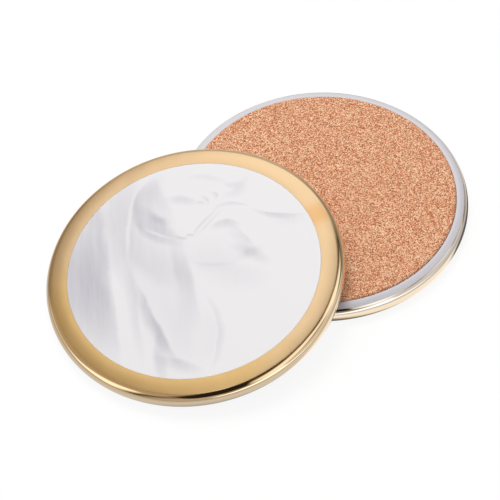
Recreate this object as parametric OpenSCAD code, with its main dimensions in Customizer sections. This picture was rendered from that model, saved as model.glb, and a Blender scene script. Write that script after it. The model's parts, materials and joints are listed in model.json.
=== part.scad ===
/* [Coaster] */
// Diameter over the gold rim
coaster_d = 100; // [80:1:130]
// Height of the straight part of the side
side_h = 1; // [0.5:0.1:4]
// Rounding between the marble face and the side
shoulder_r = 2.6; // [1:0.1:4]
// Rounding between the side and the underside
underside_r = 3.5; // [2:0.1:5]

/* [Face] */
// Width of the flat gold ring between the marble and the shoulder
face_ring_w = 5; // [2:0.1:12]
// Thickness of the marbled glaze disc
glaze_t = 0.3; // [0.2:0.05:0.5]

/* [Gold plating] */
// Thickness of the gold
gold_t = 0.15; // [0.05:0.05:0.3]
// How far up the lower rounding the gold ends, as an angle from straight down
gold_end_angle = 37; // [10:1:80]

/* [Cork back] */
// Thickness of the cork sheet
cork_t = 1.2; // [1:0.1:2]
// How far the cork stands out of the ceramic underside
cork_proud = 0.6; // [0.3:0.1:0.9]
// Gap all round between the cork and the wall of its recess
cork_gap = 0.2; // [0.1:0.05:0.4]
// Thickness of the glue film over the cork
glue_t = 0.15; // [0.1:0.05:0.3]
// How far the glue stays short of the edge of the cork
glue_margin = 1.5; // [0.5:0.5:5]
// Width of the flat ceramic ring between the recess and the lower rounding
back_ring_w = 0.5; // [0.4:0.1:2.5]
// Rounding of the recess lip, where the glaze softens the edge
lip_r = 0.2; // [0.1:0.05:0.3]

/* [Pair] */
// Direction from the leaning coaster to the turned one, from +X towards +Y
pair_angle = 37.5; // [0:0.5:90]
// How far past its own middle the leaning coaster bears on the rim, along its underside
rest_past_middle = 8.9; // [2:0.1:30]
// Gap left between the leaning coaster and the rim that carries it
lean_gap = 0.1; // [0.05:0.05:0.5]

/* [Hidden] */
$fn = 144;

// How far a cut runs past the surface that it opens
overrun = 1;

// One coaster, face up, stands on z = 0 with the underside of its cork
outer_r = coaster_d / 2;
coaster_h = cork_proud + underside_r + side_h + shoulder_r;

// Edge of the marble, where the gold begins
marble_r = outer_r - shoulder_r - face_ring_w;

// Recess in the back, and the cork that sits in it on its glue
recess_r = outer_r - underside_r - back_ring_w;
recess_depth = cork_t + glue_t - cork_proud;
cork_r = recess_r - cork_gap;

// Centres of the two roundings, as radius and height
shoulder_centre = [outer_r - shoulder_r, coaster_h - shoulder_r];
underside_centre = [outer_r - underside_r, cork_proud + underside_r];

// The cork's edge stands on the table, and the cork bears on the turned coaster's cork edge past its middle
lean_angle = asin((coaster_h + lean_gap) / (cork_r + rest_past_middle));
pair_spacing = cork_r + rest_past_middle * cos(lean_angle);

// Height of the middle of the leaning cork above the table, whichever edge or rounding hangs lowest
cork_edge_drop = cork_r * sin(lean_angle);
rounding_drop = underside_centre.x * sin(lean_angle) - underside_centre.y * cos(lean_angle) + underside_r;
lean_lift = max(cork_edge_drop, rounding_drop);

// Quarter of a disc, where both axes are positive
module quarter_disc(r) {
    intersection() {
        circle(r = r);
        square(r);
    }
}

// Half section of the whole coaster without its cork, drawn in by an inset all round
module half_section(inset = 0) {
    translate([0, underside_centre.y])
        square([outer_r - inset, side_h]);
    translate([0, shoulder_centre.y])
        square([shoulder_centre.x, shoulder_r - inset]);
    translate(shoulder_centre)
        quarter_disc(shoulder_r - inset);
    translate([0, cork_proud + inset])
        square([underside_centre.x, underside_r - inset]);
    translate(underside_centre)
        mirror([0, 1])
            quarter_disc(underside_r - inset);
}

// Half section of everything below the edge of the gold, to the middle of the underside
module bare_zone() {
    reach = underside_r + overrun;
    edge_end = underside_centre + reach * [sin(gold_end_angle), -cos(gold_end_angle)];
    floor_z = cork_proud - overrun;
    polygon([
        [0, underside_centre.y],
        underside_centre,
        edge_end,
        [edge_end.x, floor_z],
        [0, floor_z],
    ]);
}

// Half section of a cut from the axis to a radius, between two heights
module centre_cut(r, bottom, top) {
    translate([-overrun, bottom])
        square([r + overrun, top - bottom]);
}

// Corner that the glaze rounds off at the lip of the recess
module lip_cut() {
    difference() {
        translate([recess_r - overrun, cork_proud - overrun])
            square(lip_r + overrun);
        translate([recess_r + lip_r, cork_proud + lip_r])
            circle(r = lip_r);
    }
}

// Fired ceramic disc: rolled rim, bed for the marbled glaze, and recess for the cork
module ceramic_body() {
    color("whitesmoke")
        rotate_extrude()
            difference() {
                union() {
                    half_section(gold_t);
                    intersection() {
                        half_section();
                        bare_zone();
                    }
                }
                centre_cut(marble_r, coaster_h - glaze_t, coaster_h + overrun);
                centre_cut(recess_r, cork_proud - overrun, cork_proud + recess_depth);
                lip_cut();
            }
}

// Marbled glaze, flush with the gold around it
module marble_glaze() {
    color("lavender")
        translate([0, 0, coaster_h - glaze_t])
            cylinder(h = glaze_t, r = marble_r);
}

// Gold over the face ring, the shoulder, the side and the upper part of the lower rounding
module gold_band() {
    color("#dcb47c")
        rotate_extrude()
            difference() {
                half_section();
                half_section(gold_t);
                bare_zone();
                centre_cut(marble_r, shoulder_centre.y, coaster_h + overrun);
            }
}

// Glue between the floor of the recess and the cork
module glue_film() {
    color("khaki")
        translate([0, 0, cork_t])
            cylinder(h = glue_t, r = cork_r - glue_margin);
}

// Cork sheet, the foot of the coaster
module cork_pad() {
    color("#c8916e")
        cylinder(h = cork_t, r = cork_r);
}

// Turned over, with its marble face on the table
module lay_turned() {
    translate([0, 0, coaster_h])
        rotate([180, 0, 0])
            children();
}

// Face up, one edge on the table and the underside on the turned coaster's rim
module lean_on_rim() {
    translate([-pair_spacing * cos(pair_angle), -pair_spacing * sin(pair_angle), lean_lift])
        rotate([0, -lean_angle, pair_angle])
            children();
}

lay_turned() ceramic_body();  // turned_ceramic_body
lay_turned() marble_glaze();  // turned_marble_glaze
lay_turned() gold_band();  // turned_gold_band
lay_turned() glue_film();  // turned_glue_film
lay_turned() cork_pad();  // turned_cork_pad
lean_on_rim() ceramic_body();  // leaning_ceramic_body
lean_on_rim() marble_glaze();  // leaning_marble_glaze
lean_on_rim() gold_band();  // leaning_gold_band
lean_on_rim() glue_film();  // leaning_glue_film
lean_on_rim() cork_pad();  // leaning_cork_pad
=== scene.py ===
"""Looks of a round ceramic drink coaster, shown as a pair: one leans face up on one that is turned over."""

import json
import logging
import math
from collections.abc import Callable
from dataclasses import dataclass
from enum import Enum
from functools import partial
from typing import Any

import bmesh
import bpy
from bmesh.types import BMesh, BMVert
from bpy.types import Material, Node, NodeSocket, NodeTree, Object
from mathutils import Matrix, Vector, noise


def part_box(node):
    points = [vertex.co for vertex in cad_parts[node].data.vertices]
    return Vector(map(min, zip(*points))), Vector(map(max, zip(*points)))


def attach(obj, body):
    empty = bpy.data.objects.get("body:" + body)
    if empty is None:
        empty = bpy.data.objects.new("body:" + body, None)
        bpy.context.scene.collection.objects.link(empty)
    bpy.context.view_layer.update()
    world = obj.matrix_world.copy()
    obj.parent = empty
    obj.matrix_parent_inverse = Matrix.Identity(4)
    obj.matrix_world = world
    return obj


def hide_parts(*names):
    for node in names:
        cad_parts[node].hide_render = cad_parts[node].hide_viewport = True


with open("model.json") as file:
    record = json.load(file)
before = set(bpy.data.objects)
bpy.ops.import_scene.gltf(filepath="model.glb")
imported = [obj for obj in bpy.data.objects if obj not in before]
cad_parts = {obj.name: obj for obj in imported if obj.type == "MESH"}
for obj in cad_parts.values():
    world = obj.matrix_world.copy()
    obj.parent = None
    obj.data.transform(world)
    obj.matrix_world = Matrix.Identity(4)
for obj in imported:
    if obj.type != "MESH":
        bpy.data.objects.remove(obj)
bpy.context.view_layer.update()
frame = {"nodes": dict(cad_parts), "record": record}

log = logging.getLogger("coaster")

MM = 0.001
TURN_STEPS = 288

# What adds a node to one material or world: it takes all of add_node's arguments but the first
Add = Callable[..., Node]


def linear(hex_code: str) -> tuple[float, float, float, float]:
    """Turn an sRGB hex colour into a linear one.

    Args:
        hex_code: Six hex digits, red first.

    Returns:
        Linear red, green, blue and an alpha of 1.
    """
    channels = [int(hex_code[i:i + 2], 16) / 255 for i in (0, 2, 4)]
    low, knee, scale, offset, power = 12.92, 0.04045, 1.055, 0.055, 2.4
    red, green, blue = (c / low if c <= knee else ((c + offset) / scale) ** power for c in channels)
    return red, green, blue, 1.0


def add_node(home: NodeTree, kind: str, inputs: dict[Any, Any] | None = None, **settings: Any) -> Node:
    """Add a node with its settings, and fill or link its inputs.

    Args:
        home: Node tree that takes the node.
        kind: Blender's name of the node type, without the ShaderNode that each name starts with.
        inputs: Input name or number to a value, to a socket, or to a node whose first output feeds it.
        settings: Properties of the node.

    Returns:
        The new node.
    """
    node = home.nodes.new(f"ShaderNode{kind}")
    for name, value in settings.items():
        setattr(node, name, value)
    for name, value in (inputs or {}).items():
        if isinstance(value, Node):
            value = value.outputs[0]
        if isinstance(value, NodeSocket):
            home.links.new(value, node.inputs[name])
        else:
            node.inputs[name].default_value = value
    return node


def node_adder(owner: Material | bpy.types.World) -> Add:
    """Empty the node tree of a material or a world, and give the function that adds nodes to it.

    Args:
        owner: The material or world.

    Returns:
        The function add_node, tied to that tree.
    """
    owner.use_nodes = True
    owner.node_tree.nodes.clear()
    return partial(add_node, owner.node_tree)


def add_object(name: str, data: bpy.types.ID) -> Object:
    """Put a mesh, lamp or camera in the scene.

    Args:
        name: Name of the object.
        data: The mesh, lamp or camera.

    Returns:
        The new object.
    """
    made = bpy.data.objects.new(name, data)
    bpy.context.scene.collection.objects.link(made)
    return made


def flat_way(angle: float) -> Vector:
    """Give the direction at an angle from X towards Y, in radians."""
    return Vector((math.cos(angle), math.sin(angle), 0))


def room_way(azimuth: float, elevation: float) -> Vector:
    """Give the direction from the coasters to a place in the room.

    Args:
        azimuth: Degrees round the coasters: 0 is in front of them, 90 at the right and 180 behind.
        elevation: Degrees above the table.

    Returns:
        The direction, of length 1.
    """
    turn, rise = math.radians(azimuth), math.radians(elevation)
    return Vector((math.sin(turn) * math.cos(rise), -math.cos(turn) * math.cos(rise), math.sin(rise)))


class Role(Enum):
    """Which coaster of the pair a piece belongs to: its prefix in node names, and the mount on its face."""

    TURNED = ("turned", "table_face")
    LEANING = ("leaning", "cup_face")

    @property
    def prefix(self) -> str:
        """Start of this coaster's node names."""
        return self.value[0]

    @property
    def body(self) -> str:
        """Body that this coaster's pieces ride on."""
        return f"{self.prefix}_coaster"

    @property
    def face_mount(self) -> str:
        """Mount that gives the middle and the outward way of the marble face."""
        return self.value[1]


def reach(node: str, height: float | None = None) -> float:
    """Measure how far a node of the turned coaster reaches from its axis.

    Args:
        node: CAD node of the turned coaster, whose axis is the frame's Z.
        height: Only points at this height count, or all if None.

    Returns:
        The largest radius, in metres.
    """
    near = 0.01 * MM
    points = [v.co for v in frame["nodes"][node].data.vertices]
    return max(math.hypot(p.x, p.y) for p in points if height is None or abs(p.z - height) < near)


@dataclass(frozen=True)
class CoasterSizes:
    """Sizes of one coaster, face up with the underside of its cork at zero, in metres."""

    outer_r: float
    height: float
    shoulder_r: float
    underside_r: float
    underside_z: float
    marble_r: float
    glaze_t: float
    gold_edge_z: float
    cork_r: float
    cork_t: float
    glue_r: float
    glue_t: float
    cork_gap: float = 0.2 * MM
    lip_r: float = 0.2 * MM
    film: float = 0.05 * MM
    crown_start: float = 0.6 * MM
    crown_tilt: float = math.radians(7.5)

    @classmethod
    def from_frame(cls) -> "CoasterSizes":
        """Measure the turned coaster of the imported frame, whose face lies at z = 0.

        Returns:
            The sizes that both coasters have.
        """
        boxes = {n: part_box(f"turned_{n}") for n in
                 ("ceramic_body", "marble_glaze", "gold_band", "glue_film", "cork_pad")}
        height = boxes["cork_pad"][1].z
        back = boxes["ceramic_body"][1].z
        # A hair inside the solids, so that the finished coaster stays within their box
        inside_box = 0.015 * MM
        outer = reach("turned_gold_band") - inside_box
        back_flat = reach("turned_ceramic_body", back)
        return cls(
            outer_r=outer,
            height=height,
            shoulder_r=outer - reach("turned_gold_band", 0.0),
            underside_r=outer - back_flat,
            underside_z=height - back,
            marble_r=reach("turned_marble_glaze"),
            glaze_t=boxes["marble_glaze"][1].z - boxes["marble_glaze"][0].z,
            gold_edge_z=height - boxes["gold_band"][1].z,
            cork_r=reach("turned_cork_pad"),
            cork_t=height - boxes["cork_pad"][0].z,
            glue_r=reach("turned_glue_film"),
            glue_t=boxes["glue_film"][1].z - boxes["glue_film"][0].z,
        )

    @property
    def recess_r(self) -> float:
        """Radius of the recess that holds the cork."""
        return self.cork_r + self.cork_gap

    @property
    def ring_end(self) -> float:
        """Radius at which the face ring turns into the shoulder."""
        return self.outer_r - self.shoulder_r

    @property
    def underside_centre(self) -> tuple[float, float]:
        """Radius and height of the middle of the rounding over the underside."""
        return self.outer_r - self.underside_r, self.underside_z + self.underside_r

    @property
    def gold_end(self) -> float:
        """Angle from straight down, in radians, at which the gold ends on the lower rounding."""
        return math.acos((self.underside_centre[1] - self.gold_edge_z) / self.underside_r)


@dataclass(frozen=True)
class Standing:
    """Where one coaster of the pair stands, from the mount on its marble face."""

    role: Role
    matrix: Matrix

    @classmethod
    def from_mount(cls, role: Role, height: float) -> "Standing":
        """Work out the coaster's place.

        Args:
            role: Which coaster of the pair it is.
            height: Distance from the marble face to the underside of the cork.

        Returns:
            Its standing, whose matrix takes a face-up coaster there, with its local X towards the frame's X.
        """
        mount = next(m for m in frame["record"]["mounts"] if m["name"] == role.face_mount)
        outward = Vector(mount["axis"]).normalized()
        across = Vector((1, 0, 0))
        across = (across - outward * across.dot(outward)).normalized()
        turn = Matrix((across, outward.cross(across), outward)).transposed().to_4x4()
        return cls(role, Matrix.Translation(Vector(mount["pos_m"]) - outward * height) @ turn)


class LathePen:
    """Draws a half section with lines and arcs, then turns it about the coaster's axis."""

    def __init__(self, radius: float, height: float) -> None:
        """Put the pen down at a radius and a height."""
        self.mesh = bmesh.new()
        self.tip = self.mesh.verts.new((radius, 0, height))

    def line_to(self, radius: float, height: float, parts: int = 1) -> None:
        """Draw a straight line.

        Args:
            radius: Radius at the end of the line.
            height: Height at the end of the line.
            parts: How many equal edges the line has.
        """
        start = self.tip.co.copy()
        end = Vector((radius, 0, height))
        for part in range(1, parts + 1):
            self.tip = bmesh.ops.extrude_vert_indiv(self.mesh, verts=[self.tip])["verts"][0]
            self.tip.co = start.lerp(end, part / parts)

    def arc(self, centre: tuple[float, float], angle: float, steps: int) -> None:
        """Draw an arc about a centre, with a positive angle from up to outwards to down.

        Args:
            centre: Radius and height of the arc's middle.
            angle: Angle of the arc, in radians.
            steps: How many edges the arc has.
        """
        made = bmesh.ops.spin(
            self.mesh, geom=[self.tip], cent=(centre[0], 0, centre[1]), axis=(0, 1, 0), angle=angle,
            steps=steps)
        self.tip = made["geom_last"][0]

    def rim(self, sizes: CoasterSizes, under_angle: float) -> None:
        """Draw from the marble's edge over the face ring, the shoulder, the side and the lower rounding.

        Args:
            sizes: Sizes of the coaster. The pen may start at the face or a little below it.
            under_angle: How far to go round the lower rounding, in radians.
        """
        tilt = sizes.crown_tilt
        start = sizes.marble_r + sizes.crown_start
        crown_r = (sizes.ring_end - start) / math.sin(tilt)
        crown_centre = (start, sizes.height - crown_r)
        shoulder_r = sizes.shoulder_r / (1 - math.sin(tilt))
        shoulder_z = crown_centre[1] + (crown_r - shoulder_r) * math.cos(tilt)
        self.line_to(start, self.tip.co.z, parts=2)
        self.arc(crown_centre, tilt, steps=8)
        self.arc((sizes.outer_r - shoulder_r, shoulder_z), math.radians(90) - tilt, steps=20)
        self.line_to(self.tip.co.x, sizes.underside_centre[1], parts=2)
        self.arc(sizes.underside_centre, under_angle, steps=16)

    def turned(self, steps: int = TURN_STEPS) -> BMesh:
        """Turn the section all round, and close it on the axis.

        Args:
            steps: How many flats stand for the full turn.

        Returns:
            The turned mesh, whose faces point outwards.
        """
        bmesh.ops.spin(
            self.mesh, geom=self.mesh.verts[:] + self.mesh.edges[:], cent=(0, 0, 0), axis=(0, 0, 1),
            angle=math.tau, steps=steps, use_merge=True)
        bmesh.ops.remove_doubles(self.mesh, verts=self.mesh.verts, dist=0.001 * MM)
        bmesh.ops.recalc_face_normals(self.mesh, faces=self.mesh.faces)
        return self.mesh


@dataclass(frozen=True)
class Finish:
    """A material of one coaster, whose patterns are in real millimetres in the coaster's own frame."""

    standing: Standing
    sizes: CoasterSizes

    def material(self) -> Material:
        """Make the material. Each finish has its own way."""
        raise NotImplementedError

    def start(self, name: str) -> tuple[Material, Add, NodeSocket]:
        """Start a node material.

        Args:
            name: What the real material is.

        Returns:
            The material, what adds a node to it, and the point on the coaster in millimetres.
        """
        material = bpy.data.materials.new(f"{name}_{self.standing.role.prefix}")
        add = node_adder(material)
        place = self.standing.matrix
        coordinate = add("TexCoord")
        local = add("Mapping", {
            "Vector": coordinate.outputs["Object"],
            "Location": place.to_translation(),
            "Rotation": place.to_euler(),
            "Scale": (MM, MM, MM),
        }, vector_type="TEXTURE")
        return material, add, local.outputs["Vector"]


@dataclass(frozen=True)
class GlazedWhite(Finish):
    """White ceramic under a dipped clear glaze: pale, faintly cool, with a wet, slightly rippled shine."""

    colour: str = "CFCDD2"
    roughness: float = 0.12
    ior: float = 1.5
    ripple_mm: float = 9.0
    ripple_height_mm: float = 0.03

    def material(self) -> Material:
        """Make the material.

        Returns:
            The finished material.
        """
        material, add, point = self.start("clear_glazed_white_ceramic")
        ripple = add("TexNoise", {"Vector": point, "Scale": 1 / self.ripple_mm, "Detail": 1.0})
        bump = add("Bump", {"Height": ripple, "Strength": 1.0, "Distance": self.ripple_height_mm * MM})
        shader = add("BsdfPrincipled", {
            "Base Color": linear(self.colour), "Roughness": self.roughness, "IOR": self.ior,
            "Normal": bump})
        add("OutputMaterial", {"Surface": shader})
        return material


@dataclass(frozen=True)
class Fold:
    """One soft fold of grey in the marbling: a bent line with a fade on each side, in millimetres."""

    start: tuple[float, float]
    middle: tuple[float, float]
    end: tuple[float, float]
    left: float
    right: float
    depth: float
    core: float = 0.0

    @property
    def half_length(self) -> float:
        """Half the distance from start to end."""
        return math.dist(self.start, self.end) / 2

    @property
    def heading(self) -> float:
        """Direction from start to end, in radians."""
        return math.atan2(self.end[1] - self.start[1], self.end[0] - self.start[0])

    @property
    def rise(self) -> float:
        """How far the middle stands off the straight line, towards the left."""
        across = (-math.sin(self.heading), math.cos(self.heading))
        return sum((m - s) * a for m, s, a in zip(self.middle, self.start, across))

    @property
    def top(self) -> tuple[float, float, float]:
        """Point of the bent line over the middle of the straight line.

        Returns:
            Its place on the face in millimetres.
        """
        x = (self.start[0] + self.end[0]) / 2 - self.rise * math.sin(self.heading)
        y = (self.start[1] + self.end[1]) / 2 + self.rise * math.cos(self.heading)
        return x, y, 0.0


@dataclass(frozen=True)
class MarbledGlaze(Finish):
    """Marbled glaze: near-white with broad clouds and a few thin veins of cool grey under a smooth shine."""

    ground: str = "E4E2E3"
    cloud: str = "ADAAB4"
    roughness: float = 0.16
    ior: float = 1.5
    waver_per_mm: float = 0.09
    waver_mm: float = 3.0
    strand_angle: float = math.radians(6)
    strands_per_mm: tuple[float, float, float] = (0.5, 0.05, 1)
    strand_share: float = 0.18
    unseen_face_turn: float = math.radians(140)
    folds: tuple[Fold, ...] = (
        Fold((-25, 42), (-14, 4), (-4, -46), 17, 15, 0.12),
        Fold((-34, 28), (-38, 0), (-30, -28), 7, 14, 0.18),
        Fold((-34, 44), (-29.5, 2), (-24.5, -42), 3.4, 30, 0.54, 0.02),
        Fold((-35, 22), (-31, -6), (-27, -34), 3.0, 6, 0.10),
        Fold((-21, 54), (-24, 22), (-22, -10), 10, 10, 0.32),
        Fold((-38, 40), (-33, 27), (-26, 17), 6, 6, 0.16),
        Fold((-30, 15), (-26.2, -8), (-22, -40), 3.2, 3.0, -0.20),
        Fold((-23, 16), (-20, -8), (-18, -38), 1.6, 3.6, 0.24),
        Fold((-16, 38), (-21.5, 21), (-20, -2), 1.2, 1.3, -0.28),
        Fold((-8, 42), (-18.5, 28), (-15, 12), 9, 1.7, 0.38),
        Fold((-19, 29), (-12, 21), (-3, 10), 3.4, 4.4, 0.40),
        Fold((-15, 24), (-10, 21.5), (-5, 19), 2.2, 3.0, 0.30),
        Fold((-22, 26), (-11.5, 13.6), (1, 8.6), 5.5, 2.6, 0.34),
        Fold((-18, 19.5), (-11, 15), (-3, 11), 0.9, 0.9, -0.26),
        Fold((-6, 14.6), (-3, 12.3), (0, 12.2), 1.0, 1.2, 0.36),
        Fold((-2.5, 11.6), (-0.2, 13.6), (2, 12.2), 0.9, 0.9, 0.34),
        Fold((-14, 42), (-10, 31), (-5, 18), 2.5, 8, 0.22),
        Fold((-26, 18), (-15, 2), (-2, -10), 13, 4.2, 0.20),
        Fold((-8, 16), (-6, 4), (-4, -12), 6, 2.4, 0.18),
        Fold((-5, 14), (-1.5, -4), (1.5, -28), 2.0, 7.5, 0.25),
        Fold((-6, -6), (-4, -22), (-1, -40), 5, 8, 0.12),
        Fold((-21, 2), (-14.5, -16), (-6.5, -37), 1.5, 4.0, 0.46),
        Fold((-14, -14), (-10.2, -27), (-4, -39), 1.3, 3.6, 0.28),
        Fold((-12, -22), (-12.8, -33), (-11, -46), 3.6, 2.6, 0.36),
        Fold((-15, -32), (-7, -35), (4, -41), 1.8, 5.0, 0.34),
        Fold((2, -8), (7.9, -24), (3, -43), 2.6, 1.1, 0.26),
        Fold((3, -12), (6.4, -26), (1, -42), 0.9, 8, 0.09),
        Fold((-9, 29.5), (-3, 28.2), (3, 26.2), 1.8, 2.8, 0.30),
        Fold((0.4, 26), (3, 26.4), (5.2, 24.4), 0.8, 1.4, 0.24),
        Fold((2.8, 29.2), (5.2, 27.4), (6.4, 24.2), 0.8, 1.4, 0.26),
        Fold((5.6, 30.2), (8.8, 28.6), (8.7, 25), 0.9, 1.5, 0.28),
        Fold((-0.6, 10.6), (4, 18), (11, 24.2), 0.6, 1.1, 0.28),
        Fold((1, 11.4), (6, 17.6), (12, 23.2), 0.5, 1.1, 0.20),
        Fold((6.5, 21.8), (13, 24.3), (21, 21.2), 0.7, 1.6, 0.26),
        Fold((5.4, 15.2), (10.5, 17.2), (17, 14.4), 1.2, 3.8, 0.36),
        Fold((12.5, 17), (17.2, 11), (23, 3.5), 0.8, 5.4, 0.22),
        Fold((-4, 10), (7, 0), (18, -1), 13, 5, 0.13),
        Fold((-2, 4), (6, 0.4), (16, 0.6), 1.4, 1.1, 0.14),
        Fold((11, 8.2), (18.8, 4.4), (27, -2.5), 3.0, 3.6, 0.34),
        Fold((11.5, 1.0), (18.6, 3.6), (26, 5.2), 2.6, 3.0, 0.18),
        Fold((0, 0), (13, -3), (28, -10), 5, 9, 0.12),
        Fold((19, 21.5), (28, 17.7), (40, 16.4), 0.7, 2.2, 0.40),
        Fold((24, 19), (31, 15.6), (41, 15), 1, 4, 0.10),
        Fold((10, 34.4), (15.5, 31.2), (21, 35.4), 2.2, 2.6, 0.22),
        Fold((9.5, 27), (16, 28.8), (20, 33.4), 1.8, 3.2, 0.16),
        Fold((-3, 37), (6, 36), (14, 33), 1.4, 2.0, 0.14),
    )

    def material(self) -> Material:
        """Make the material.

        Returns:
            The finished material.
        """
        material, add, point = self.start("marbled_glaze")
        leaning = self.standing.role is Role.LEANING
        spin = 0.0 if leaning else self.unseen_face_turn
        turned = add("Mapping", {"Vector": point, "Rotation": (0, 0, spin)})
        waver = add("TexNoise", {"Vector": turned, "Scale": self.waver_per_mm, "Detail": 4.0})
        sway = add("VectorMath", {0: waver.outputs["Color"], 1: (0.5, 0.5, 0.5)}, operation="SUBTRACT")
        bent = add("VectorMath", {
            0: sway, 1: (self.waver_mm, self.waver_mm, 0), 2: turned}, operation="MULTIPLY_ADD")
        total: NodeSocket | float = 0.0
        for fold in self.folds if leaning else self.folds[::2]:
            total = self.lay(add, bent.outputs[0], fold, total)
        long_grain = add("Mapping", {
            "Vector": bent, "Rotation": (0, 0, self.strand_angle), "Scale": self.strands_per_mm})
        strands = add("TexNoise", {"Vector": long_grain, "Scale": 1.0, "Detail": 5.0, "Roughness": 0.6})
        gain = add("MapRange", {
            "Value": strands, "From Min": 0.3, "From Max": 0.7,
            "To Min": 1 - self.strand_share, "To Max": 1 + self.strand_share})
        share = add("Math", {0: total, 1: gain}, operation="MULTIPLY", use_clamp=True)
        colour = add("Mix", {0: share, 6: linear(self.ground), 7: linear(self.cloud)}, data_type="RGBA")
        shader = add("BsdfPrincipled", {
            "Base Color": colour.outputs[2], "Roughness": self.roughness, "IOR": self.ior})
        add("OutputMaterial", {"Surface": shader})
        return material

    def lay(self, add: Add, point: NodeSocket, fold: Fold, total: NodeSocket | float) -> NodeSocket:
        """Lay one fold into the marbling.

        Args:
            add: Adds a node to the material.
            point: Point on the face in millimetres.
            fold: The fold.
            total: Depth of the folds so far.

        Returns:
            Depth of the folds with this one.
        """
        place = add("Mapping", {
            "Vector": point, "Location": fold.top, "Rotation": (0, 0, fold.heading),
            "Scale": (fold.half_length, fold.left, 1)}, vector_type="TEXTURE")
        parts = add("SeparateXYZ", {0: place})
        along = add("Math", {0: parts, 1: parts}, operation="MULTIPLY")
        across = add("Math", {
            0: along, 1: fold.rise / fold.left, 2: parts.outputs[1]}, operation="MULTIPLY_ADD")
        other = add("Math", {0: across, 1: -fold.left / fold.right}, operation="MULTIPLY")
        side = add("Math", {0: across, 1: other}, operation="MAXIMUM")
        spread = add("Math", {0: side, 1: side, 2: along}, operation="MULTIPLY_ADD")
        near = add("MapRange", {"Value": spread, "From Min": fold.core, "To Min": 1.0, "To Max": 0.0})
        soft = add("Math", {0: near, 1: near}, operation="MULTIPLY")
        return add("Math", {0: soft, 1: fold.depth, 2: total}, operation="MULTIPLY_ADD").outputs[0]


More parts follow.
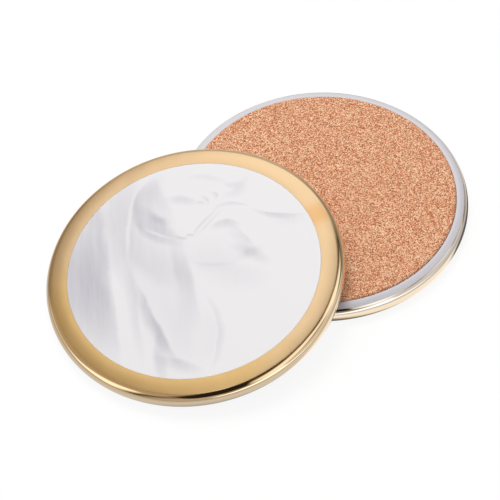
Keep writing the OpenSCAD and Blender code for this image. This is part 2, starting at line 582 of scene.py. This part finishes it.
@dataclass(frozen=True)
class FiredGold(Finish):
    """Gold on fired ceramic: satin with faint strokes on the face ring, mirror bright and paler on the rim.

    The gold is brushed on and fired, and it thins towards its lower edge, so that it looks paler there. An
    orange patch across one side of the leaning coaster's ring is a painted reflection. One side of the ring
    is painted a deeper, darker gold as painted shade, broken up by random firing tone. The paler gold on the
    rim is partly the polished gold's own colour and partly a painted highlight, which reaches further in
    towards one side.
    """

    satin_colour: str = "F5D4A7"
    bright_colour: str = "F5DDBA"
    bright_start_mm: float = 0.6
    bright_end_mm: float = 2.0
    # The pale rim gold reaches further in towards one side: a painted highlight
    painted_highlight_shift_mm: float = 0.7
    painted_highlight_angle: float = math.radians(45)
    satin: float = 0.30
    polish: float = 0.04
    polish_start_mm: float = 0.1
    polish_end_mm: float = 0.9
    strokes_around: float = 2.5
    strokes_per_mm: float = 6.0
    stroke_roughness: float = 0.08
    stroke_height_mm: float = 0.006
    waves_per_mm: float = 0.11
    wave_height_mm: float = 0.10
    # Orange patch across one side of the leaning coaster's face ring: a painted reflection
    painted_reflection_colour: str = "F0B468"
    painted_reflection_angle: float = math.radians(20.5)
    painted_reflection_half_mm: float = 6.2
    painted_reflection_core: float = 0.2
    painted_reflection_share: float = 0.50
    # Deeper, darker gold on one side of the face ring: painted shade, mixed with random firing tone
    firing_and_shade_colour: str = "F3CC8A"
    painted_shade_angle: float = math.radians(-122)
    firing_and_shade_share: float = 0.9
    firing_and_shade_start: float = 0.55
    firing_and_shade_full: float = 1.15
    firings_per_mm: float = 0.07
    firing_share: float = 0.8
    thin_colour: str = "F0E6DA"
    thin_edge_mm: float = 1.0

    def material(self) -> Material:
        """Make the material.

        Returns:
            The finished material.
        """
        material, add, point = self.start("fired_gold_lustre")
        sizes, leaning = self.sizes, self.standing.role is Role.LEANING
        flat = add("VectorMath", {0: point, 1: (1, 1, 0)}, operation="MULTIPLY")
        radius = add("VectorMath", {0: flat}, operation="LENGTH").outputs["Value"]
        height = add("SeparateXYZ", {0: point}).outputs[2]
        way = add("VectorMath", {0: flat}, operation="NORMALIZE")
        # How far the point lies towards the side of the painted highlight, the side of the painted shade,
        # along the painted reflection and across it
        towards_painted_highlight, painted_shade_side, along, across = (
            add("VectorMath", {0: vector, 1: flat_way(angle)}, operation="DOT_PRODUCT").outputs["Value"]
            for vector, angle in (
                (way, self.painted_highlight_angle), (way, self.painted_shade_angle),
                (flat, self.painted_reflection_angle), (flat, self.painted_reflection_angle + math.radians(90))))
        # Painted highlight: the pale rim gold starts further in on one side
        shifted = add("Math", {0: towards_painted_highlight, 1: self.painted_highlight_shift_mm, 2: radius}, operation="MULTIPLY_ADD")
        firing = add("TexNoise", {"Vector": point, "Scale": self.firings_per_mm, "Detail": 3.0})
        # Random firing tone plus painted shade on one side of the ring
        firing_and_shade = add("Math", {0: firing, 1: self.firing_share, 2: painted_shade_side}, operation="MULTIPLY_ADD")
        off = add("Math", {0: across}, operation="ABSOLUTE")
        ring_end = sizes.ring_end / MM
        rim, bright, thin, firing_and_shade_mask, painted_reflection_mask = (
            add("MapRange", {
                "Value": value, "From Min": start, "From Max": end, "To Min": first, "To Max": last},
                interpolation_type="SMOOTHSTEP")
            for value, start, end, first, last in (
                (radius, ring_end + self.polish_start_mm, ring_end + self.polish_end_mm, 0, 1),
                (shifted, ring_end + self.bright_start_mm, ring_end + self.bright_end_mm, 0, 1),
                (height, sizes.underside_centre[1] / MM, sizes.gold_edge_z / MM + self.thin_edge_mm, 0, 1),
                (firing_and_shade, self.firing_and_shade_start, self.firing_and_shade_full, 0, self.firing_and_shade_share),
                (off, self.painted_reflection_core * self.painted_reflection_half_mm, self.painted_reflection_half_mm,
                 self.painted_reflection_share if leaning else 0, 0)))
        this_side = add("Math", {0: along, 1: 0.0}, operation="GREATER_THAN")
        # Real brush strokes are finer, and these are drawn as coarse as they need to be to show
        stroke_ways = add("VectorMath", {
            0: way, 1: (self.strokes_around, self.strokes_around, 0)}, operation="MULTIPLY")
        rings = add("CombineXYZ", {2: radius})
        stroke_place = add("VectorMath", {
            0: rings, 1: (0, 0, self.strokes_per_mm), 2: stroke_ways}, operation="MULTIPLY_ADD")
        brush = add("TexNoise", {"Vector": stroke_place, "Scale": 1.0, "Detail": 3.0, "Roughness": 0.6})
        # Strokes, the painted reflection and the deeper gold of firing tone and painted shade are on the face
        # ring only
        face = add("Math", {0: 1.0, 1: rim}, operation="SUBTRACT")
        # Painted reflection, on one side of the leaning coaster's ring only
        one_sided = add("Math", {0: painted_reflection_mask, 1: this_side}, operation="MULTIPLY")
        strokes, warm_and_shaded, painted_reflection = (
            add("Math", {0: pattern, 1: face}, operation="MULTIPLY") for pattern in (brush, firing_and_shade_mask, one_sided))
        colour: Any = linear(self.satin_colour)
        for share, tone in ((bright, self.bright_colour), (thin, self.thin_colour),
                            (warm_and_shaded, self.firing_and_shade_colour), (painted_reflection, self.painted_reflection_colour)):
            mix = add("Mix", {0: share, 6: colour, 7: linear(tone)}, data_type="RGBA")
            colour = mix.outputs[2]
        rough = add("MapRange", {"Value": rim, "To Min": self.satin, "To Max": self.polish})
        uneven = add("Math", {0: strokes, 1: self.stroke_roughness, 2: rough}, operation="MULTIPLY_ADD")
        swell = add("TexNoise", {"Vector": point, "Scale": self.waves_per_mm, "Detail": 1.0})
        wave = add("Math", {0: swell, 1: self.wave_height_mm}, operation="MULTIPLY")
        relief = add("Math", {0: strokes, 1: self.stroke_height_mm, 2: wave}, operation="MULTIPLY_ADD")
        bump = add("Bump", {"Height": relief, "Strength": 1.0, "Distance": MM})
        shader = add("BsdfPrincipled", {
            "Base Color": colour, "Metallic": 1.0, "Roughness": uneven, "Normal": bump})
        add("OutputMaterial", {"Surface": shader})
        return material


@dataclass(frozen=True)
class AgglomerateCork(Finish):
    """Pressed cork granules: warm tan, matt, each granule its own shade, with pale and dark flecks.

    Real granules measure 0.4 to 0.7 mm. Their shades are drawn finer here, so that the render shows the grain
    as crisp as it is.
    """

    dark: str = "A85A36"
    tan: str = "F29B6E"
    pale: str = "FFDDB8"
    grain_mm: float = 0.27
    speck_mm: float = 0.13
    speck_weight: float = 1.6
    dark_below: float = 0.97
    pale_above: float = 1.61
    relief_mm: float = 0.08
    fleck_mm: float = 0.62
    fleck_core: float = 0.15
    fleck_edge: float = 0.45
    bark: str = "7A4A2C"
    bark_share: float = 0.022
    wood: str = "FFE6B4"
    wood_share: float = 0.05
    roughness: float = 0.9
    ior: float = 1.4
    specular: float = 0.3

    def material(self) -> Material:
        """Make the material.

        Returns:
            The finished material.
        """
        material, add, point = self.start("agglomerate_cork")
        cells = add("TexVoronoi", {"Vector": point, "Scale": 1 / self.grain_mm})
        own = add("SeparateColor", {"Color": cells.outputs["Color"]})
        specks = add("TexNoise", {"Vector": point, "Scale": 1 / self.speck_mm, "Detail": 2.0})
        both = add("Math", {0: specks, 1: self.speck_weight, 2: own.outputs["Red"]}, operation="MULTIPLY_ADD")
        shade = add("MapRange", {"Value": both, "From Min": self.dark_below, "From Max": self.pale_above})
        ramp = add("ValToRGB", {"Fac": shade})
        stops = ramp.color_ramp.elements
        stops[0].color, stops[1].color = linear(self.dark), linear(self.pale)
        stops.new(0.5).color = linear(self.tan)
        flecks = add("TexVoronoi", {"Vector": point, "Scale": 1 / self.fleck_mm})
        chance = add("SeparateColor", {"Color": flecks.outputs["Color"]})
        heart = add("MapRange", {
            "Value": flecks, "From Min": self.fleck_core, "From Max": self.fleck_edge,
            "To Min": 1.0, "To Max": 0.0})
        colour = ramp.outputs["Color"]
        kinds = (("Green", self.bark_share, self.bark), ("Blue", self.wood_share, self.wood))
        for channel, share, tone in kinds:
            hit = add("Math", {0: chance.outputs[channel], 1: share}, operation="LESS_THAN")
            where = add("Math", {0: hit, 1: heart}, operation="MULTIPLY")
            colour = add("Mix", {0: where, 6: colour, 7: linear(tone)}, data_type="RGBA").outputs[2]
        bump = add("Bump", {"Height": shade, "Strength": 1.0, "Distance": self.relief_mm * MM})
        shader = add("BsdfPrincipled", {
            "Base Color": colour, "Roughness": self.roughness, "IOR": self.ior,
            "Specular IOR Level": self.specular, "Normal": bump})
        add("OutputMaterial", {"Surface": shader})
        return material


@dataclass(frozen=True)
class CuredGlue(Finish):
    """Cured contact glue: a dull, slightly yellow clear film."""

    colour: str = "D9CFA8"
    smears_per_mm: float = 0.4
    smooth: float = 0.35
    rough: float = 0.65
    ior: float = 1.48

    def material(self) -> Material:
        """Make the material.

        Returns:
            The finished material.
        """
        material, add, point = self.start("cured_glue")
        smears = add("TexNoise", {"Vector": point, "Scale": self.smears_per_mm, "Detail": 3.0})
        rough = add("MapRange", {"Value": smears, "To Min": self.smooth, "To Max": self.rough})
        shader = add("BsdfPrincipled", {
            "Base Color": linear(self.colour), "Roughness": rough, "IOR": self.ior})
        add("OutputMaterial", {"Surface": shader})
        return material


def around(point: Vector, ripples: float, seed: float) -> float:
    """Read a smooth noise that runs round the coaster and meets itself.

    Args:
        point: Point of the coaster, whose direction from the axis is used.
        ripples: Radius of the circle read in the noise. A larger one gives more rises and falls.
        seed: Picks another stretch of noise.

    Returns:
        A value from about -1 to 1.
    """
    direction = Vector((point.x, point.y, 0)).normalized()
    return noise.noise(direction * ripples + Vector((0, 0, seed)))


@dataclass
class CoasterPiece:
    """One physical piece of one coaster."""

    sizes: CoasterSizes
    standing: Standing

    piece_name = ""
    slot = ""
    finish = Finish
    crease = math.radians(35)

    def shape(self) -> BMesh:
        """Model the piece face up on the frame's axis. Each piece has its own way."""
        raise NotImplementedError

    @property
    def seed(self) -> float:
        """Number that sets this coaster's small irregularities apart from the other one's."""
        turned_seed, leaning_seed = 3.7, 11.3
        return turned_seed if self.standing.role is Role.TURNED else leaning_seed

    def make(self) -> Object:
        """Model the piece, stand it in its place, dress it and hand it to the frame.

        Returns:
            The finished object.
        """
        mesh = self.shape()
        bmesh.ops.transform(mesh, matrix=self.standing.matrix, verts=mesh.verts)
        for edge in mesh.edges:
            edge.smooth = len(edge.link_faces) == 2 and edge.calc_face_angle() < self.crease
        for face in mesh.faces:
            face.smooth = True
        prefix = self.standing.role.prefix
        data = bpy.data.meshes.new(f"{prefix}_{self.piece_name}_mesh")
        mesh.to_mesh(data)
        mesh.free()
        data.materials.append(self.finish(self.standing, self.sizes).material())
        piece = add_object(f"{prefix}_coaster_{self.piece_name}", data)
        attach(piece, self.standing.role.body)
        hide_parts(f"{prefix}_{self.piece_name}")
        log.info("%s: %d faces", piece.name, len(data.polygons))
        return piece


class CeramicBody(CoasterPiece):
    """Fired ceramic disc under its clear glaze: bed for the marble, rolled rim, and recess for the cork."""

    piece_name = "ceramic_body"
    slot = "ceramic"
    finish = GlazedWhite

    def shape(self) -> BMesh:
        """Turn the body's section.

        Returns:
            The body's mesh.
        """
        s = self.sizes
        quarter = math.radians(90)
        inner_gap = 0.02 * MM
        pen = LathePen(0, s.height - s.glaze_t - inner_gap)
        pen.line_to(s.marble_r, s.height - s.glaze_t - inner_gap)
        pen.line_to(s.marble_r, s.height - s.film)
        pen.rim(s, quarter)
        lip_centre = (s.recess_r + s.lip_r, s.underside_z + s.film + s.lip_r)
        pen.line_to(lip_centre[0], s.underside_z + s.film, parts=2)
        pen.arc(lip_centre, quarter, steps=5)
        floor_z = s.cork_t + s.glue_t
        pen.line_to(s.recess_r, floor_z)
        pen.line_to(0, floor_z)
        return pen.turned()


class MarbleGlaze(CoasterPiece):
    """Marbled disc of glaze on the face, flush with the gold, with the soft edge of a melted glaze."""

    piece_name = "marble_glaze"
    slot = "marble_glaze"
    finish = MarbledGlaze

    def shape(self) -> BMesh:
        """Turn the disc's section.

        Returns:
            The disc's mesh.
        """
        s = self.sizes
        gap = 0.04 * MM
        edge_r = 0.08 * MM
        rim = s.marble_r - gap
        pen = LathePen(0, s.height - s.glaze_t)
        pen.line_to(rim, s.height - s.glaze_t)
        pen.line_to(rim, s.height - edge_r)
        pen.arc((rim - edge_r, s.height - edge_r), -math.radians(90), steps=5)
        pen.line_to(rim - 4 * edge_r, s.height)
        pen.line_to(0, s.height, parts=6)
        return pen.turned()


class GoldBand(CoasterPiece):
    """Gold over the face ring, the shoulder, the side and the upper part of the lower rounding."""

    piece_name = "gold_band"
    slot = "gold"
    finish = FiredGold

    def shape(self) -> BMesh:
        """Turn the outer skin, let its lower edge wander as painted gold does, and give it its thickness.

        Returns:
            The band's mesh.
        """
        s = self.sizes
        quarter = math.radians(90)
        pen = LathePen(s.marble_r, s.height)
        pen.rim(s, quarter - s.gold_end)
        mesh = pen.turned()
        self.wander_edge(mesh)
        bmesh.ops.solidify(mesh, geom=mesh.faces[:], thickness=s.film)
        bmesh.ops.recalc_face_normals(mesh, faces=mesh.faces)
        return mesh

    def wander_edge(self, mesh: BMesh) -> None:
        """Stretch the skin along the lower rounding, so that its edge wanders up and down.

        Args:
            mesh: The gold's outer skin.
        """
        s = self.sizes
        centre_r, centre_z = s.underside_centre
        quarter = math.radians(90)
        slow, slow_ripples = math.radians(2.4), 1.6
        quick, quick_ripples, quick_seed = math.radians(1.2), 9, self.seed + 5
        for vert in mesh.verts:
            radius = math.hypot(vert.co.x, vert.co.y)
            if vert.co.z >= centre_z:
                continue
            angle = math.atan2(radius - centre_r, centre_z - vert.co.z)
            share = (quarter - angle) / (quarter - s.gold_end)
            sway = slow * around(vert.co, slow_ripples, self.seed)
            sway += quick * around(vert.co, quick_ripples, quick_seed)
            angle = quarter - share * (quarter - s.gold_end - sway)
            new_radius = centre_r + s.underside_r * math.sin(angle)
            vert.co.x *= new_radius / radius
            vert.co.y *= new_radius / radius
            vert.co.z = centre_z - s.underside_r * math.cos(angle)


class GlueFilm(CoasterPiece):
    """Adhesive between the recess and the cork, squeezed out to an uneven edge."""

    piece_name = "glue_film"
    slot = "glue"
    finish = CuredGlue

    def shape(self) -> BMesh:
        """Turn a thin disc and let its edge wander inwards.

        Returns:
            The film's mesh.
        """
        s = self.sizes
        gap = 0.01 * MM
        pen = LathePen(0, s.cork_t + gap)
        pen.line_to(s.glue_r, s.cork_t + gap, parts=8)
        pen.line_to(s.glue_r, s.cork_t + s.glue_t - gap)
        pen.line_to(0, s.cork_t + s.glue_t - gap, parts=8)
        mesh = pen.turned(TURN_STEPS // 2)
        most, ripples = 0.9 * MM, 7
        for vert in mesh.verts:
            radius = math.hypot(vert.co.x, vert.co.y)
            draw = most * (0.5 + 0.5 * around(vert.co, ripples, self.seed)) * radius / s.glue_r
            if radius > 0:
                vert.co.x *= 1 - draw / s.glue_r
                vert.co.y *= 1 - draw / s.glue_r
        return mesh


class CorkPad(CoasterPiece):
    """Die-cut sheet of fine agglomerate cork, with the pits and crumbs of its granules."""

    piece_name = "cork_pad"
    slot = "cork"
    finish = AgglomerateCork
    crease = math.radians(60)

    def shape(self) -> BMesh:
        """Spread a square grid over the disc, give it its thickness, and roughen its underside.

        Returns:
            The pad's mesh.
        """
        s = self.sizes
        cells = 270
        swell = 0.12 * MM
        mesh = bmesh.new()
        bmesh.ops.create_grid(mesh, x_segments=cells, y_segments=cells, size=1)
        for vert in mesh.verts:
            x, y = vert.co.x, vert.co.y
            on_disc = Vector((x * math.sqrt(1 - y * y / 2), y * math.sqrt(1 - x * x / 2), 0))
            vert.co = on_disc * (s.cork_r + swell)
        rim = [e for e in mesh.edges if e.is_boundary]
        wall = bmesh.ops.extrude_edge_only(mesh, edges=rim)["geom"]
        top = [v for v in wall if isinstance(v, BMVert)]
        bmesh.ops.translate(mesh, vec=(0, 0, s.cork_t), verts=top)
        bmesh.ops.contextual_create(mesh, geom=[e for e in mesh.edges if e.is_boundary])
        deepest = 0.11 * MM
        for vert in mesh.verts:
            if vert.co.z < s.cork_t / 2:
                vert.co.z = deepest * self.pit(vert.co) + self.edge_drop(vert.co)
        bmesh.ops.recalc_face_normals(mesh, faces=mesh.faces)
        return mesh

    def edge_drop(self, point: Vector) -> float:
        """Say how far the pressed edge of the sheet falls away.

        Args:
            point: Point on the underside of the sheet.

        Returns:
            Height above the flat part of the underside, in metres.
        """
        width = 1.1 * MM
        deep = 0.5 * MM
        inward = self.sizes.cork_r - math.hypot(point.x, point.y)
        near_edge = min(1.0, max(0.0, 1 - inward / width))
        return deep * (1 - math.sqrt(1 - near_edge * near_edge))

    def pit(self, point: Vector) -> float:
        """Say how deep the surface lies between the cork granules.

        Args:
            point: Point on the underside of the sheet.

        Returns:
            A share from 0, at the top of a granule, to 1.
        """
        grain = 0.75 * MM
        crack_sharpness, crack_share = 2.2, 0.65
        lump_scale = 0.6
        place = Vector((point.x, point.y, self.seed * MM)) / grain
        distances = noise.voronoi(place)[0]
        crack = 1 - min(1, (distances[1] - distances[0]) * crack_sharpness)
        lump = 0.5 + 0.5 * noise.noise(place * lump_scale)
        return min(1, crack_share * crack * crack + (1 - crack_share) * lump)


@dataclass(frozen=True)
class ViewCamera:
    """Camera at the photograph's viewing angle, with the turned coaster's middle as its reference point."""

    elevation: float = math.radians(50.752)
    roll: float = math.radians(-3.2528)
    distance: float = 843.5 * MM
    aside: float = -25.2 * MM
    above: float = -12.4 * MM
    sensor: float = 36.0
    lens: float = 177.33

    def place(self) -> None:
        """Put the camera in the scene."""
        ahead = Vector((0, math.cos(self.elevation), -math.sin(self.elevation)))
        right = Vector((1, 0, 0))
        upward = right.cross(ahead)
        data = bpy.data.cameras.new("view_camera")
        data.lens = self.lens
        data.sensor_width = self.sensor
        camera = add_object("view_camera", data)
        rolled_right = right * math.cos(self.roll) + upward * math.sin(self.roll)
        rolled_up = upward * math.cos(self.roll) - right * math.sin(self.roll)
        turn = Matrix((rolled_right, rolled_up, -ahead)).transposed().to_4x4()
        spot = -ahead * self.distance + right * self.aside + upward * self.above
        camera.matrix_world = Matrix.Translation(spot) @ turn
        bpy.context.scene.camera = camera


@dataclass(frozen=True)
class SoftBox:
    """One square soft lamp: direction in degrees, distance and width in metres, and power in watts."""

    name: str
    azimuth: float
    elevation: float
    distance: float
    width: float
    power: float

    def place(self) -> None:
        """Hang the lamp, facing the coasters. The gold mirrors the panels of the room and not the lamp."""
        out = room_way(self.azimuth, self.elevation)
        data = bpy.data.lights.new(self.name, "AREA")
        data.energy = self.power
        data.size = self.width
        lamp = add_object(self.name, data)
        lamp.location = out * self.distance
        lamp.rotation_euler = (-out).to_track_quat("-Z", "Y").to_euler()
        lamp.visible_glossy = False


@dataclass(frozen=True)
class Panel:
    """One soft-edged light or dark panel of the room, by its direction from the coasters in degrees.

    The turn is about the line of sight. Half sizes and blur are shares of the panel's distance, and a light
    of 1 is white.
    """

    name: str
    azimuth: float
    elevation: float
    turn: float
    half_width: float
    half_height: float
    blur: float
    light: float

    def facing(self) -> Matrix:
        """Work out which way the panel faces.

        Returns:
            The panel's own axes: across, up and outwards.
        """
        across = flat_way(math.radians(self.azimuth))
        out = room_way(self.azimuth, self.elevation)
        axes = Matrix((across, out.cross(across), out)).transposed()
        return axes @ Matrix.Rotation(math.radians(self.turn), 3, "Z")


@dataclass(frozen=True)
class RoundShade:
    """A round dim patch of the floor as the gold mirrors it, in millimetres, with its fade and its tone."""

    x: float
    y: float
    radius: float
    fade: float
    tone: float


@dataclass(frozen=True)
class Pool:
    """Pool of light on the floor as the gold mirrors it: place and radii in millimetres, and its tones."""

    x: float = -20
    y: float = 10
    inner: float = 80
    outer: float = 85
    bright: float = 1.05
    pale: float = 0.70
    far: float = 0.40
    far_start: float = 90
    far_end: float = 160
    shade: float = 0.75
    shade_start: float = 0
    shade_fade: float = 20
    shade_angle: float = math.radians(60)
    under_the_pair: RoundShade = RoundShade(38, -4, 20, 5, 0.15)
    at_the_left_rim: RoundShade = RoundShade(-42, -56, 25, 10, 0.60)
    round_the_turned_one: RoundShade = RoundShade(-6, -5, 47, 3, 0.20)


@dataclass(frozen=True)
class Studio:
    """Plain white table and a pale tent of soft panels round it.

    The gold mirrors the panels and the dim room between them. Cork, marble and glaze take their light from
    one broad soft source at the back left and a lamp, and so keep a plain level whatever the panels are.
    """

    key: SoftBox = SoftBox("key_soft_box", -150, 76, 0.9, 0.45, 4.5)
    floor_size: float = 4.0
    floor_drop: float = 0.05 * MM
    floor_colour: str = "FFFFFF"
    pool: Pool = Pool()
    floor_glow: float = 0.90
    dim: float = 0.30
    dim_colour: str = "FFEACB"
    dim_below: float = 0.1
    plain_above: float = 0.9
    matt_azimuth: float = -140
    matt_elevation: float = 60
    matt_low: float = 0.16
    matt_high: float = 0.84
    panels: tuple[Panel, ...] = (
        Panel("grey_back_wall", 180, 20, 25, 0.40, 0.95, 0.10, 0.55),
        Panel("dark_card_high_right", 105, 60, 20, 0.40, 0.85, 0.30, 0.05),
        Panel("low_strip_left", -100, 10, 5, 0.30, 0.15, 0.25, 0.75),
        Panel("grey_sheet_in_front", -30, 5, 5, 0.70, 0.35, 0.05, 0.50),
        Panel("high_back_strip", -160, 65, -15, 0.07, 0.60, 0.15, 1.45),
        Panel("back_strip", 180, 50, -50, 0.12, 0.35, 0.30, 1.65),
        Panel("overhead_strip", -125, 80, -65, 0.10, 0.30, 0.05, 1.20),
        Panel("wide_box_low_right", 50, 5, 15, 1.15, 0.40, 0.30, 1.50),
        Panel("box_right", 105, 45, 20, 0.25, 0.30, 0.30, 1.20),
        Panel("box_high_right", 50, 50, 40, 0.50, 0.20, 0.30, 1.20),
        Panel("dark_camera_side", -10, 50, 25, 0.30, 0.45, 0.10, 0.02),
        Panel("grey_sail_left", -85, 45, 25, 0.60, 0.30, 0.20, 0.45),
        Panel("box_left_front", -65, 15, 50, 0.45, 0.30, 0.30, 1.40),
        Panel("dark_slot_left_front", -45, 15, -15, 0.12, 0.35, 0.30, 0.03),
        Panel("grey_sail_right", 80, 15, -20, 0.65, 0.25, 0.15, 0.70),
    )

    def place(self) -> None:
        """Set up the floor, the room and the lamp."""
        self.floor()
        self.room()
        self.key.place()

    def floor(self) -> None:
        """Lay a white floor that shows white to the camera, keeps a faint shadow, and is clear from below."""
        mesh = bmesh.new()
        bmesh.ops.create_grid(mesh, x_segments=1, y_segments=1, size=self.floor_size)
        bmesh.ops.translate(mesh, vec=(0, 0, -self.floor_drop), verts=mesh.verts)
        data = bpy.data.meshes.new("floor_mesh")
        mesh.to_mesh(data)
        mesh.free()
        floor = add_object("floor", data)
        material = bpy.data.materials.new("white_table")
        add = node_adder(material)
        path = add("LightPath")
        matt = add("BsdfDiffuse", {"Color": linear(self.floor_colour)})
        shown = add("Math", {
            0: path.outputs["Is Camera Ray"], 1: self.floor_glow, 2: path.outputs["Is Glossy Ray"]},
            operation="MULTIPLY_ADD")
        # To mirror rays the floor glows with mirror_tone's painted pool of light and painted shadows
        level = add("Mix", {0: path.outputs["Is Camera Ray"], 2: self.mirror_tone(add), 3: 1.0})
        glow = add("Emission", {"Color": (1, 1, 1, 1), "Strength": level})
        lit = add("MixShader", {0: shown, 1: matt, 2: glow})
        side = add("NewGeometry")
        passed = add("Math", {
            0: path.outputs["Transparent Depth"], 1: side.outputs["Backfacing"]},
            operation="ADD", use_clamp=True)
        clear = add("BsdfTransparent")
        mix = add("MixShader", {0: passed, 1: lit, 2: clear})
        add("OutputMaterial", {"Surface": mix})
        data.materials.append(material)

    def mirror_tone(self, add: Add) -> NodeSocket:
        """Work out how bright the floor looks in the gold.

        It is brightest in the pool of light near the coasters, and darker where they shade it and far away.

        Args:
            add: Adds a node to the floor's material.

        Returns:
            Brightness of the floor for mirror rays.
        """
        pool = self.pool
        spot = add("TexCoord").outputs["Object"]
        away = add("VectorMath", {0: spot, 1: (pool.x * MM, pool.y * MM, 0)}, operation="DISTANCE")
        near = add("MapRange", {
            "Value": away.outputs["Value"], "From Min": pool.inner * MM, "From Max": pool.outer * MM,
            "To Min": pool.bright, "To Max": pool.pale}, interpolation_type="SMOOTHSTEP")
        aslant = add("VectorMath", {0: spot, 1: flat_way(pool.shade_angle)}, operation="DOT_PRODUCT")
        shade = add("MapRange", {
            "Value": aslant.outputs["Value"], "From Min": pool.shade_start * MM,
            "From Max": (pool.shade_start + pool.shade_fade) * MM, "To Min": 1.0, "To Max": pool.shade},
            interpolation_type="SMOOTHSTEP")
        lit = add("Math", {0: near, 1: shade}, operation="MULTIPLY")
        out = add("VectorMath", {0: spot}, operation="LENGTH")
        far = add("MapRange", {
            "Value": out.outputs["Value"], "From Min": pool.far_start * MM, "From Max": pool.far_end * MM},
            interpolation_type="SMOOTHSTEP")
        tone = add("Mix", {0: far, 2: lit, 3: pool.far}).outputs[0]
        for patch in (pool.under_the_pair, pool.at_the_left_rim, pool.round_the_turned_one):
            away = add("VectorMath", {0: spot, 1: (patch.x * MM, patch.y * MM, 0)}, operation="DISTANCE")
            open_floor = add("MapRange", {
                "Value": away.outputs["Value"], "From Min": patch.radius * MM,
                "From Max": (patch.radius + patch.fade) * MM, "To Min": patch.tone},
                interpolation_type="SMOOTHSTEP")
            shaded = add("Math", {0: tone, 1: open_floor}, operation="MULTIPLY")
            tone = shaded.outputs[0]
        return tone

    def room(self) -> None:
        """Light the table from soft panels, and show the room white to the camera."""
        world = bpy.data.worlds.new("pale_tent")
        add = node_adder(world)
        way = add("TexCoord").outputs["Generated"]
        light = add("Value").outputs[0]
        light.default_value = self.dim
        for panel in self.panels:
            light = self.hang(add, way, panel, light)
        path = add("LightPath")
        matt_way = room_way(self.matt_azimuth, self.matt_elevation)
        towards = add("VectorMath", {0: way, 1: matt_way}, operation="DOT_PRODUCT")
        matt = add("MapRange", {
            "Value": towards.outputs["Value"], "To Min": self.matt_low, "To Max": self.matt_high})
        seen = add("Mix", {0: path.outputs["Is Glossy Ray"], 2: matt, 3: light}).outputs[0]
        shown = add("Mix", {0: path.outputs["Is Camera Ray"], 2: seen, 3: 1.0})
        # Dim directions are warm, as the sides of a room are, so the gold's dark bands are brown and not grey
        dimness = add("MapRange", {
            "Value": shown, "From Min": self.dim_below, "From Max": self.plain_above,
            "To Min": 1.0, "To Max": 0.0})
        tinted = add("Math", {0: dimness, 1: path.outputs["Is Glossy Ray"]}, operation="MULTIPLY")
        tint = add("Mix", {0: tinted, 6: (1, 1, 1, 1), 7: linear(self.dim_colour)}, data_type="RGBA")
        surface = add("Background", {"Color": tint.outputs[2], "Strength": shown})
        add("OutputWorld", {"Surface": surface})
        bpy.context.scene.world = world

    def hang(self, add: Add, way: NodeSocket, panel: Panel, light: NodeSocket) -> NodeSocket:
        """Hang one panel in front of the ones before.

        Args:
            add: Adds a node to the world.
            way: The direction looked in.
            panel: The panel.
            light: Light of the room so far.

        Returns:
            Light of the room with the panel.
        """
        local = add("Mapping", {"Vector": way, "Rotation": panel.facing().to_euler()}, vector_type="TEXTURE")
        ahead = add("SeparateXYZ", {0: local}).outputs[2]
        depth = add("CombineXYZ", {0: ahead, 1: ahead, 2: ahead})
        flat = add("VectorMath", {0: local, 1: depth}, operation="DIVIDE")
        spread = add("VectorMath", {0: flat}, operation="ABSOLUTE")
        size = Vector((panel.half_width, panel.half_height, 2))
        blur = Vector((panel.blur, panel.blur, 1)) / 2
        inside = add("MapRange", {
            6: spread, 7: size - blur, 8: size + blur, 9: (1, 1, 1), 10: (0, 0, 0)},
            data_type="FLOAT_VECTOR", interpolation_type="SMOOTHSTEP")
        sides = add("SeparateXYZ", {0: inside.outputs[1]})
        both = add("Math", {0: sides, 1: sides.outputs[1]}, operation="MULTIPLY")
        front = add("Math", {0: ahead, 1: 0.0}, operation="GREATER_THAN")
        share = add("Math", {0: both, 1: front}, operation="MULTIPLY")
        hung = add("Mix", {0: share, 2: light, 3: panel.light}, label=panel.name)
        return hung.outputs[0]


@dataclass
class Coaster:
    """One whole coaster of the pair."""

    role: Role
    sizes: CoasterSizes

    def make(self) -> list[Object]:
        """Make all its pieces.

        Returns:
            The finished objects.
        """
        standing = Standing.from_mount(self.role, self.sizes.height)
        kinds = (CeramicBody, MarbleGlaze, GoldBand, GlueFilm, CorkPad)
        return [kind(self.sizes, standing).make() for kind in kinds]


def main() -> None:
    """Build the studio and both coasters."""
    logging.basicConfig(level=logging.INFO, format="%(name)s: %(message)s")
    bpy.context.scene.view_settings.view_transform = "Standard"
    sizes = CoasterSizes.from_frame()
    log.info("sizes: %s", sizes)
    ViewCamera().place()
    Studio().place()
    for role in Role:
        Coaster(role, sizes).make()


if __name__ == "__main__":
    main()
